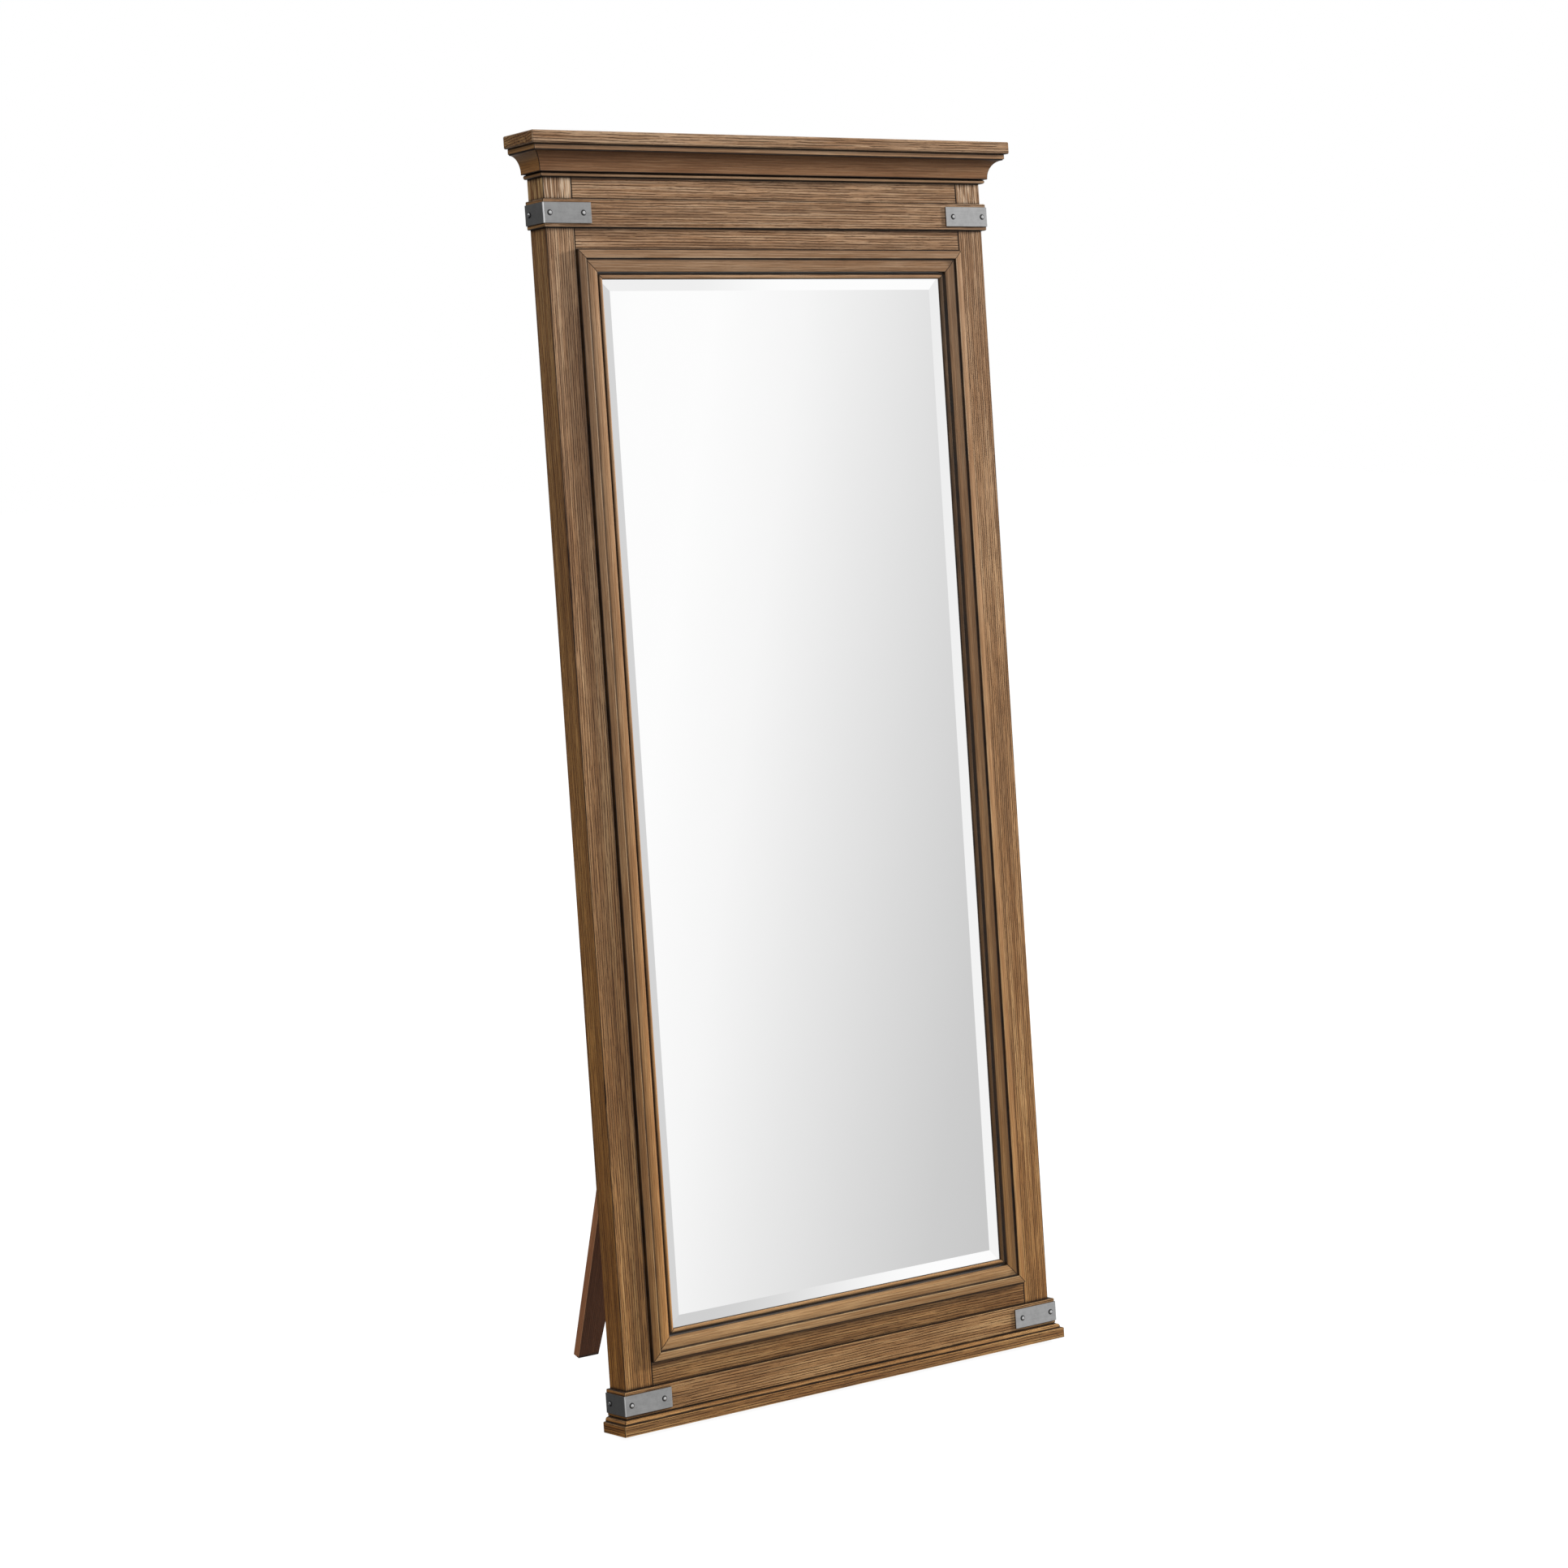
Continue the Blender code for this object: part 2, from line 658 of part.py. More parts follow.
def foot_reach():
    """How far the rearmost point of the legs lies behind the frame's bottom back edge."""
    pin = PIN_STANDOFF * math.cos(LEAN) + PIN_HEIGHT * math.sin(LEAN)
    leg_back = (PIN_STANDOFF + LEG_THICKNESS) * math.cos(STAND_LEAN)
    return pin + leg_back + LEG_LENGTH * math.sin(STAND_LEAN)


def shoe_reach():
    """How far the shoe moulding's front edge lies before the frame's bottom back edge."""
    return (FRAME_DEPTH + SHOE_OUT) * math.cos(LEAN)


def main():
    clear_scene()
    back_edge_y = (shoe_reach() - foot_reach()) / 2
    lean_pivot = make_pivot("lean_pivot", (0.0, back_edge_y, 0.0), -LEAN)
    pin_place = (0.0, PIN_STANDOFF, PIN_HEIGHT)
    frame_pin = make_pivot("frame_pin", pin_place, 0.0, lean_pivot)
    stand_pivot = make_pivot("stand_pivot", pin_place, OPENING_ANGLE, lean_pivot)

    add_posts(lean_pivot)
    add_rails(lean_pivot)
    add_cap(lean_pivot)
    add_wrapped_moulding("crown", crown_outline(), lean_pivot)
    add_wrapped_moulding("neck_bead", neck_outline(), lean_pivot)
    add_wrapped_moulding("belt", band_outline(BELT_BOTTOM, BELT_TOP, BELT_OUT), lean_pivot)
    add_wrapped_moulding(
        "plinth", band_outline(PLINTH_BOTTOM, PLINTH_TOP, PLINTH_OUT), lean_pivot
    )
    add_wrapped_moulding("shoe", shoe_outline(), lean_pivot)
    add_mirror_surround(lean_pivot)
    add_glass_and_boards(lean_pivot)
    add_straps(lean_pivot)
    add_hinges(frame_pin, stand_pivot)
    add_stand(stand_pivot)


main()
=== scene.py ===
"""Looks for the leaning floor mirror: finishes, hinge screws, stage, lights and camera."""

import json
import math

import bmesh
import bpy
from mathutils import Euler, Matrix, Vector


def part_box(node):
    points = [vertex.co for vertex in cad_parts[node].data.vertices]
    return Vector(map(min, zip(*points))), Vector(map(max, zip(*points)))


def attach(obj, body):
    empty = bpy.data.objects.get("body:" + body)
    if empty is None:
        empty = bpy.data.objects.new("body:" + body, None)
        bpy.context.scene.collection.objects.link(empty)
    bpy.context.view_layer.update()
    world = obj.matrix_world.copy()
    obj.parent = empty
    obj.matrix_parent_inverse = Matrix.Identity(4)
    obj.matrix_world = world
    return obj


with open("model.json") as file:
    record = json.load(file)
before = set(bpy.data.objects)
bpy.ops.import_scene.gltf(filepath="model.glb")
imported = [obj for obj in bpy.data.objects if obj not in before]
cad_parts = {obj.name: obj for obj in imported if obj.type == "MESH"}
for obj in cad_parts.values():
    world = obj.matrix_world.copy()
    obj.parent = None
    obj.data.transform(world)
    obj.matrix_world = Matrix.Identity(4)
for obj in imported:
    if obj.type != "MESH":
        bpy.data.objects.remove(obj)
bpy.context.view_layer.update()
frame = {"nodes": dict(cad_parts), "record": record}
NODES = frame["nodes"]

# The frame leans back and the stand leans forward, so grain is mapped in each one's own directions.
FRAME_LEAN = math.radians(6.25)
STAND_LEAN = math.radians(13.5)

# Camera, in the row frame
CAMERA_PLACE = (-3.4733, -4.6472, 1.7712)
CAMERA_PITCH = math.radians(-8.036)
CAMERA_YAW = math.radians(-36.894)
CAMERA_LENS = 83.785
SENSOR_WIDTH = 36.0


# ---------------------------------------------------------------- node building

class Tree:
    """Short ways to add and link shader nodes."""

    def __init__(self, owner):
        owner.use_nodes = True
        self.tree = owner.node_tree
        self.tree.nodes.clear()

    def node(self, kind, inputs=None, **settings):
        made = self.tree.nodes.new(kind)
        for name, value in settings.items():
            setattr(made, name, value)
        for name, value in (inputs or {}).items():
            self.feed(made.inputs[name], value)
        return made

    def feed(self, socket, value):
        if isinstance(value, bpy.types.NodeSocket):
            self.tree.links.new(value, socket)
        else:
            socket.default_value = value

    def math(self, operation, *values, clamp=False):
        made = self.node("ShaderNodeMath", operation=operation, use_clamp=clamp)
        for socket, value in zip(made.inputs, values):
            self.feed(socket, value)
        return made.outputs[0]

    def mix(self, factor, first, second, blend="MIX"):
        made = self.node("ShaderNodeMix", data_type="RGBA", blend_type=blend)
        self.feed(made.inputs["Factor"], factor)
        self.feed(made.inputs["A"], first)
        self.feed(made.inputs["B"], second)
        return made.outputs["Result"]

    def remap(self, value, low, high, to_low=0.0, to_high=1.0, smooth=True):
        made = self.node(
            "ShaderNodeMapRange", interpolation_type="SMOOTHSTEP" if smooth else "LINEAR"
        )
        for name, number in (
            ("Value", value), ("From Min", low), ("From Max", high),
            ("To Min", to_low), ("To Max", to_high),
        ):
            self.feed(made.inputs[name], number)
        return made.outputs["Result"]

    def noise(self, vector, scale, detail=2.0, roughness=0.5, distortion=0.0):
        made = self.node("ShaderNodeTexNoise", {
            "Vector": vector, "Scale": scale, "Detail": detail,
            "Roughness": roughness, "Distortion": distortion,
        })
        return made.outputs["Fac"]

    def stretch(self, vector, across, depth, along, shift=(0.0, 0.0, 0.0)):
        """Scales a (across, depth, along) vector, so that noise turns into fibres."""
        made = self.node("ShaderNodeMapping", {
            "Vector": vector, "Scale": (across, depth, along), "Location": shift,
        })
        return made.outputs["Vector"]

    def surface(self, shader):
        output = self.node("ShaderNodeOutputMaterial")
        self.tree.links.new(shader.outputs[0], output.inputs["Surface"])


def grey(level):
    return (level, level, level, 1.0)


def srgb(red, green, blue):
    """A shader colour from 8-bit display values."""
    def linear(value):
        value /= 255.0
        return value / 12.92 if value <= 0.04045 else ((value + 0.055) / 1.055) ** 2.4
    return (linear(red), linear(green), linear(blue), 1.0)


# ---------------------------------------------------------------- wood

GRAIN_PITCH = 0.0041
THIN_LINE_PITCH = 0.37 * GRAIN_PITCH
GRAIN_ORDER = {"x": ("Z", "Y", "X"), "y": ("Z", "X", "Y"), "z": ("X", "Y", "Z")}

# How far each further board is moved through the grain: across, depth, along
BOARD_STEP = (0.37, 0.11, 1.7)

# Mouldings and the stand show less grain than flat boards
FAINT_GRAIN = 0.40

# Reach of the shade in creases
WOOD_CREASE = 0.008
METAL_CREASE = 0.004

# Painted sheen: pale streaks stand for light glancing off the posts above these heights, on the
# posts only
SHEEN_STREAK_COLOUR = (226, 200, 172)
SHEEN_HEIGHTS = (1.80, 1.90)

# Heights between which the tone of the lowest parts comes in
LOW_TONE_HEIGHTS = (1.70, 0.10)

# x of the face's direction where the painted light and shade of left and of right faces starts and
# is full
SIDE_LIGHT_TURNS = {"left": (-0.80, -0.97), "right": (0.45, 0.95)}

# Display colours, then linear multipliers that paint light and shade on faces that look left or
# right, and multipliers for low parts
FRAME_TONES = {
    "light": (190, 153, 118), "middle": (151, 113, 80), "dark": (50, 28, 16),
    "worn": (208, 178, 146), "glaze_and_shade": (14, 6, 3),
    "left": (1.18, 1.00, 0.62), "right": (0.36, 0.38, 0.46), "low": (1.10, 0.93, 0.58),
}
STAND_TONES = {
    "light": (104, 64, 37), "middle": (90, 53, 30), "dark": (62, 35, 20),
    "worn": (130, 90, 62), "glaze_and_shade": (30, 15, 8),
    "left": (4.4, 4.9, 5.6), "right": (0.90, 0.95, 1.0), "low": (1.0, 1.0, 1.0),
}

# Linear multipliers for boards that took the stain differently; on the crown's front and returns
# they also paint shade into the cove under the cap
BOARD_TINTS_AND_COVE_SHADE = {
    "crown_cap": (0.92, 0.93, 0.94), "crown_front": (0.64, 0.54, 0.46),
    "crown_left": (0.90, 0.80, 0.66), "crown_right": (0.90, 0.80, 0.66),
    "belt_front": (0.92, 0.92, 0.92), "surround_bottom": (1.02, 1.16, 1.50),
    "bottom_rail": (0.78, 0.80, 0.86), "plinth_front": (0.88, 0.94, 1.12),
    "shoe_front": (0.84, 0.85, 0.87),
}


def split(t, vector):
    return t.node("ShaderNodeSeparateXYZ", {"Vector": vector}).outputs


def grain_vector(t, upright, grain, seed):
    """Upright coordinates ordered (across, depth, along the grain), moved to a fresh board."""
    parts = split(t, upright)
    ordered = t.node("ShaderNodeCombineXYZ")
    for socket, name in zip(ordered.inputs, GRAIN_ORDER[grain]):
        t.feed(socket, parts[name])
    moved = t.node("ShaderNodeVectorMath", operation="ADD")
    t.feed(moved.inputs[0], ordered.outputs[0])
    t.feed(moved.inputs[1], tuple(step * seed for step in BOARD_STEP))
    return moved.outputs[0]


def growth_lines(t, board, pitch, cross):
    """Dark earlywood lines that wander, ripple and break up along the board."""
    wander = t.noise(t.stretch(board, 7.0, 7.0, 0.7), 1.0, detail=2.0)
    ripple = t.noise(t.stretch(board, 70.0, 70.0, 15.0), 1.0, detail=2.0)
    parts = split(t, board)
    phase = t.math("DIVIDE", t.math("MULTIPLY_ADD", parts["Y"], cross, parts["X"]), pitch)
    phase = t.math("MULTIPLY_ADD", wander, 5.0, phase)
    phase = t.math("MULTIPLY_ADD", ripple, 0.8, phase)
    saw = t.math("FRACT", phase)
    line = t.math("MULTIPLY", t.remap(saw, 0.0, 0.09), t.remap(saw, 0.16, 0.46, 1.0, 0.0))
    breaks = t.remap(t.noise(t.stretch(board, 230.0, 230.0, 21.0), 1.0, detail=3.0), 0.33, 0.50)
    return t.math("MULTIPLY", line, breaks)


def grain_depth(t, board, grain, facing):
    """How dark the grain is: growth lines, thinner ones between them, and short pore dashes."""
    upward = t.math("ABSOLUTE", facing["Z"])
    cross = 1.0 if grain == "z" else t.remap(upward, 0.6, 0.9, 0.12, 1.0)
    lines = growth_lines(t, board, GRAIN_PITCH, cross)
    between = t.stretch(board, 1.0, 1.0, 1.0, (0.3, 0.7, 0.5))
    thin = growth_lines(t, between, THIN_LINE_PITCH, cross)
    dashes = t.noise(t.stretch(board, 1500.0, 1500.0, 85.0), 1.0, detail=2.0, roughness=0.6)
    dashes = t.remap(dashes, 0.54, 0.68, 0.0, 0.6)
    deepest = t.math("MAXIMUM", lines, t.math("MULTIPLY", thin, 0.55))
    return t.math("MAXIMUM", deepest, dashes)


def crease_shade(t, reach):
    """1 in a crease, 0 on open faces."""
    occlusion = t.node("ShaderNodeAmbientOcclusion", {"Distance": reach}, samples=8)
    return t.remap(occlusion.outputs["AO"], 0.48, 0.93, 1.0, 0.0)


def arris_wear(t, upright, board, low, high):
    """1 along the edges of the box from low to high, broken up as if rubbed."""
    parts = split(t, upright)
    off = {}
    for axis, near, far in (("X", low.x, high.x), ("Z", low.z, high.z)):
        to_near = t.math("ABSOLUTE", t.math("SUBTRACT", parts[axis], near))
        to_far = t.math("ABSOLUTE", t.math("SUBTRACT", parts[axis], far))
        off[axis] = t.math("MINIMUM", to_near, to_far)
    off["Y"] = t.math("ABSOLUTE", t.math("SUBTRACT", parts["Y"], low.y))
    front = t.math("MAXIMUM", off["Y"], t.math("MINIMUM", off["X"], off["Z"]))
    nearest = t.math("MINIMUM", front, t.math("MAXIMUM", off["X"], off["Z"]))
    edge = t.remap(nearest, 0.0005, 0.0017, 1.0, 0.0)
    rub = t.remap(t.noise(t.stretch(board, 60.0, 60.0, 14.0), 1.0, detail=3.0), 0.32, 0.58)
    return t.math("MULTIPLY", edge, rub)


def glaze_lines(t, upright, lines):
    """Shade near any (axis, position, reach, strength) line, in upright coordinates."""
    parts = split(t, upright)
    shade = None
    for axis, position, reach, strength in lines:
        distance = t.math("ABSOLUTE", t.math("SUBTRACT", parts[axis], position))
        near = t.remap(distance, 0.45 * reach, 1.3 * reach, strength, 0.0)
        shade = near if shade is None else t.math("MAXIMUM", shade, near)
    return shade


def mitre_line(t, upright, corner):
    """1 along the 45 degree joint through a corner given as (|x|, axis, position, direction)."""
    half_width, axis, position, direction = corner
    parts = split(t, upright)
    run = t.math("SUBTRACT", t.math("ABSOLUTE", parts["X"]), half_width)
    rise = t.math("MULTIPLY", t.math("SUBTRACT", parts[axis], position), direction)
    apart = t.math("ABSOLUTE", t.math("SUBTRACT", run, rise))
    return t.remap(apart, 0.0004, 0.0013, 1.0, 0.0)


def stained(t, board, fibre, grainy, tones, depth):
    """Cloudy stain with pale and dark fibres, long streaks and the grain itself."""
    light, middle, dark, worn = (
        srgb(*tones[key]) for key in ("light", "middle", "dark", "worn"))
    cloud = t.noise(t.stretch(board, 22.0, 22.0, 3.2), 1.0, detail=4.0, roughness=0.6)
    streak = t.noise(t.stretch(board, 170.0, 170.0, 2.2), 1.0, detail=3.0, roughness=0.6)
    colour = t.mix(t.remap(cloud, 0.30, 0.70), light, middle)
    colour = t.mix(t.remap(fibre, 0.35, 0.68, 0.0, 0.55), colour, middle)
    colour = t.mix(t.remap(fibre, 0.52, 0.30, 0.0, 0.30), colour, worn)
    colour = t.mix(t.remap(streak, 0.46, 0.64, 0.0, 0.42 * depth), colour, dark)
    colour = t.mix(t.remap(streak, 0.48, 0.34, 0.0, 0.45 * depth), colour, worn)
    return t.mix(grainy, colour, dark)


def multiplied(t, factor, colour, tone):
    """A colour, multiplied by a linear tone as far as factor says."""
    return t.mix(factor, colour, t.mix(1.0, colour, (*tone, 1.0), "MULTIPLY"))


def painted_sheen_streaks(t, board, height, sheen_heights):
    """1 where pale streaks of painted sheen show, above the lower of the given heights."""
    sheen_mask = t.remap(t.noise(t.stretch(board, 420.0, 420.0, 20.0), 1.0, detail=2.0), 0.47, 0.60)
    return t.math("MULTIPLY", sheen_mask, t.remap(height, *sheen_heights, 0.0, 0.75))


def crease_shade_and_glaze(t, upright, board, facing, lines, mitres):
    """How much is darkened: painted shade in creases, and glaze along joint lines and down mitres.
    """
    shade = crease_shade(t, WOOD_CREASE)
    if lines:
        not_behind = t.remap(facing["Y"], 0.5, 0.9, 1.0, 0.0)
        seams = t.math("MULTIPLY", glaze_lines(t, upright, lines), not_behind)
        shade = t.math("MAXIMUM", shade, seams)
    for corner in mitres:
        shade = t.math("MAXIMUM", shade, mitre_line(t, upright, corner))
    smudge = t.remap(t.noise(t.stretch(board, 60.0, 60.0, 30.0), 1.0), 0.2, 0.8, 0.86, 1.0)
    return t.math("MULTIPLY", shade, smudge)


def wood(name, grain, lean, seed, tones, depth, wear, lines=(), mitres=(), sheen_heights=None, tint_and_shade=None):
    """Open-grained stained wood with dark glaze in its joints and painted shade in its creases.

    wear is the box whose edges are rubbed. sheen_heights is the pair of heights over which a
    painted sheen of pale streaks comes in. tint_and_shade is a linear multiplier, painting shade
    into the crown's cove, and the height that it stays below.
    """
    material = bpy.data.materials.new(name)
    t = Tree(material)
    place = t.node("ShaderNodeTexCoord").outputs["Object"]
    upright = t.node("ShaderNodeMapping", {
        "Vector": place, "Rotation": (lean, 0.0, 0.0)}).outputs["Vector"]
    board = grain_vector(t, upright, grain, seed)
    facing = split(t, t.node("ShaderNodeTexCoord").outputs["Normal"])
    height = split(t, upright)["Z"]

    grainy = t.math("MULTIPLY", grain_depth(t, board, grain, facing), depth)
    fibre = t.noise(t.stretch(board, 700.0, 700.0, 16.0), 1.0, detail=3.0)
    colour = stained(t, board, fibre, grainy, tones, depth)
    if wear:
        rubbed = t.math("MULTIPLY", arris_wear(t, upright, board, *wear), 0.7)
        colour = t.mix(rubbed, colour, srgb(*tones["worn"]))
    # On the crown's moulded pieces the tint paints shade into the cove under the cap
    if tint_and_shade:
        tone, ceiling = tint_and_shade
        colour = multiplied(t, t.remap(height, ceiling - 0.001, ceiling, 1.0, 0.0), colour, tone)
    lowness = t.remap(height, *LOW_TONE_HEIGHTS, smooth=False)
    colour = multiplied(t, lowness, colour, tones["low"])
    # Painted sheen: pale streaks high on the posts
    if sheen_heights:
        colour = t.mix(painted_sheen_streaks(t, board, height, sheen_heights), colour, srgb(*SHEEN_STREAK_COLOUR))
    # Painted light and shade: left and right faces take tones for how the light falls on them, and
    # the frame's right faces are darker against the raking key light
    for side, turn in SIDE_LIGHT_TURNS.items():
        colour = multiplied(t, t.remap(facing["X"], *turn), colour, tones[side])
    # Painted shade in creases, and glaze at joints, both in the glaze colour
    shade = crease_shade_and_glaze(t, upright, board, facing, lines, mitres)
    colour = t.mix(shade, colour, srgb(*tones["glaze_and_shade"]))

    relief = t.math("MULTIPLY_ADD", fibre, 0.25, t.math("MULTIPLY", grainy, -1.0))
    bump = t.node("ShaderNodeBump", {"Height": relief, "Strength": 0.5, "Distance": 0.0005})
    shader = t.node("ShaderNodeBsdfPrincipled", {
        "Base Color": colour, "Roughness": t.remap(grainy, 0.0, 1.0, 0.48, 0.70, smooth=False),
        "Normal": bump.outputs["Normal"], "Specular IOR Level": 0.30,
    })
    t.surface(shader)
    return material


# ---------------------------------------------------------------- other finishes

# Radius of the painted shade round a strap's screw
SCREW_SHADE_RADIUS = 0.0042


def ring_shade(t, place, centres, reach):
    """1 within reach of any centre."""
    nearest = None
    for centre in centres:
        apart = t.node("ShaderNodeVectorMath", operation="DISTANCE")
        t.feed(apart.inputs[0], place)
        t.feed(apart.inputs[1], centre)
        distance = apart.outputs["Value"]
        nearest = distance if nearest is None else t.math("MINIMUM", nearest, distance)
    return t.remap(nearest, reach, reach * 1.25, 1.0, 0.0)


def brushed_metal(name, tone, roughness, along, scratch=0.25, screws=(), arris_highlight=0.0, domed=None):
    """Metal with fine lines along x (along=0) or z (along=2).

    It is painted with shade round a screw's seat, or in its creases when it has no screws.
    arris_highlight is how bright the highlight painted on its upright arrises is. domed is the axis
    that a screw's head faces along; the head is painted darker towards its rim, as a painted
    reflection.
    """
    material = bpy.data.materials.new(name)
    t = Tree(material)
    place = t.node("ShaderNodeTexCoord").outputs["Object"]
    scale = [900.0, 900.0, 900.0]
    scale[along] = 25.0
    lines = t.noise(t.stretch(place, *scale), 1.0, detail=3.0, roughness=0.7)
    clouds = t.noise(place, 90.0, detail=4.0, roughness=0.65)
    colour = t.mix(t.remap(clouds, 0.3, 0.7, 0.0, 0.35), grey(tone), grey(tone * 0.62))
    colour = t.mix(t.remap(lines, 0.35, 0.7, 0.0, scratch), colour, grey(min(1.0, tone * 1.35)))
    # Painted shade round each screw's seat, or in the creases where there are no screws
    if screws:
        painted_shade = t.math("MULTIPLY", ring_shade(t, place, screws, SCREW_SHADE_RADIUS), 0.85)
    else:
        painted_shade = t.math("MULTIPLY", crease_shade(t, METAL_CREASE), 0.8)
    colour = t.mix(painted_shade, colour, grey(tone * 0.08))
    facing = split(t, t.node("ShaderNodeTexCoord").outputs["Normal"])
    # Painted highlight on the rounded upright arrises, where the face turns between x and y
    if arris_highlight:
        turned = t.math("ABSOLUTE", t.math("MULTIPLY", facing["X"], facing["Y"]))
        colour = t.mix(t.remap(turned, 0.10, 0.35, 0.0, arris_highlight), colour, grey(0.95))
    # Painted reflection: the head is darker towards its rim, as a polished dome would look
    if domed:
        crown = t.remap(t.math("ABSOLUTE", facing[domed]), 0.62, 0.93)
        colour = t.mix(crown, grey(tone * 0.12), colour)
    dull = t.remap(clouds, 0.25, 0.75, roughness, roughness + 0.14)
    bump = t.node("ShaderNodeBump", {"Height": lines, "Strength": 0.12, "Distance": 0.0002})
    shader = t.node("ShaderNodeBsdfPrincipled", {
        "Base Color": colour, "Metallic": 1.0, "Roughness": dull,
        "Normal": bump.outputs["Normal"],
    })
    t.surface(shader)
    return material


def silvered_glass(name):
    """A clean mirror, with the faintest dust that only dulls its gloss."""
    material = bpy.data.materials.new(name)
    t = Tree(material)
    place = t.node("ShaderNodeTexCoord").outputs["Object"]
    dust = t.noise(place, 7.0, detail=5.0, roughness=0.7)
    shader = t.node("ShaderNodeBsdfPrincipled", {
        "Base Color": t.mix(dust, grey(0.97), grey(0.985)),
        "Metallic": 1.0,
        "Roughness": t.remap(dust, 0.3, 0.8, 0.0, 0.012),
    })
    t.surface(shader)
    return material


def fibreboard(name):
    """Dense brown board: short felted fibres and darker specks."""
    material = bpy.data.materials.new(name)
    t = Tree(material)
    place = t.node("ShaderNodeTexCoord").outputs["Object"]
    fibres = t.noise(t.stretch(place, 420.0, 420.0, 260.0), 1.0, detail=4.0, roughness=0.7)
    clouds = t.noise(place, 5.0, detail=3.0)
    specks = t.remap(t.noise(place, 700.0, detail=1.0), 0.66, 0.74)
    colour = t.mix(t.remap(fibres, 0.3, 0.7), srgb(104, 77, 56), srgb(128, 97, 72))
    colour = t.mix(t.remap(clouds, 0.3, 0.7, 0.0, 0.4), colour, srgb(96, 70, 51))
    colour = t.mix(t.math("MULTIPLY", specks, 0.6), colour, srgb(58, 40, 28))
    bump = t.node("ShaderNodeBump", {"Height": fibres, "Strength": 0.35, "Distance": 0.0004})
    shader = t.node("ShaderNodeBsdfPrincipled", {
        "Base Color": colour, "Roughness": t.remap(fibres, 0.3, 0.7, 0.78, 0.92),
        "Normal": bump.outputs["Normal"],
    })
    t.surface(shader)
    return material


# ---------------------------------------------------------------- finishes for wooden pieces

SURROUND_FACE = 0.0127
CROWN_FILLET = 0.0084
SHOE_STEP = 0.0172

# Dark lines at the surround's steps, glaze and painted shade, as (distance in from its outer edge,
# reach, strength)
SURROUND_STEPS = (
    (0.0, 0.0012, 1.0), (0.0143, 0.0017, 1.0), (0.0357, 0.0024, 1.0), (0.0455, 0.0013, 1.0),
)

# Thin washes of glaze on the surround's pieces that also paint shade on its flats, in the same form
SURROUND_WASHES_AND_SHADE = {
    "surround_left": ((0.0, 0.0180, 0.33), (0.0166, 0.0022, 0.80)),
    "surround_right": ((0.0, 0.0180, 0.16), (0.0260, 0.0110, 0.17), (0.0425, 0.0068, 0.72)),
    "surround_top": ((0.0, 0.0180, 0.30), (0.0260, 0.0110, 0.26)),
    "surround_bottom": ((0.0, 0.0180, 0.02),),
}

# Widths of the rounded arrises
STAND_ARRIS = 0.0008
FRAME_ARRIS = 0.0005
ARRIS_SEGMENTS = 2

# How far above a board's top its own tint still holds
TINT_MARGIN = 0.01


def upright_box(node, lean):
    """Lowest and highest corner of a node with its lean taken out."""
    turn = Matrix.Rotation(lean, 3, "X")
    points = [turn @ vert.co for vert in NODES[node].data.vertices]
    low = Vector([min(point[i] for point in points) for i in range(3)])
    high = Vector([max(point[i] for point in points) for i in range(3)])
    return low, high


def band_edges():
    """The levels where the wrapped mouldings meet the posts and rails."""
    belt, plinth = upright_box("belt_front", FRAME_LEAN), upright_box("plinth_front", FRAME_LEAN)
    neck, shoe = upright_box("neck_bead_front", FRAME_LEAN), upright_box("shoe_front", FRAME_LEAN)
    return (belt[0].z, belt[1].z, plinth[1].z, neck[0].z, shoe[1].z)


def joint_lines(node):
    """Dark lines on a piece, glaze along its joints that also paints shade under its steps, as
    (axis, position, reach, strength).
    """
    low, high = upright_box(node, FRAME_LEAN)
    levels = [("Z", level, 0.0015) for level in band_edges()]
    lines = ()
    if node == "post_left":
        lines = (("X", high.x, 0.0014), ("X", low.x + 0.0006, 0.0005), *levels)
    elif node == "post_right":
        lines = (("X", low.x, 0.0014), ("X", high.x - 0.0006, 0.0005), *levels)
    elif node.endswith("_rail"):
        rim = high.z if node == "bottom_rail" else low.z
        lines = (("X", low.x, 0.0010), ("X", high.x, 0.0010), ("Z", rim, 0.0013), *levels)
    elif node.startswith("surround"):
        return surround_lines(node, low, high)
    elif node.startswith("crown_") and node != "crown_cap":
        fillet = high.z - CROWN_FILLET
        lines = (("Z", low.z, 0.0014), ("Z", high.z, 0.0018), ("Z", fillet, 0.0013))
    elif node.startswith(("belt", "plinth", "neck")):
        lines = (("Z", low.z, 0.0009), ("Z", high.z, 0.0006))
    elif node.startswith("shoe"):
        lines = (("Z", low.z + SHOE_STEP, 0.0011), ("Z", high.z, 0.0016))
    return [(*line, 1.0) for line in lines]


def surround_lines(node, low, high):
    """The surround's steps and washes, glaze and painted shade, measured inwards from its outer
    edge.
    """
    axis, outer, inward = {
        "surround_left": ("X", low.x, 1), "surround_right": ("X", high.x, -1),
        "surround_bottom": ("Z", low.z, 1), "surround_top": ("Z", high.z, -1),
    }[node]
    return [(axis, outer + inward * inset, reach, strength)
            for inset, reach, strength in (*SURROUND_STEPS, *SURROUND_WASHES_AND_SHADE[node])]


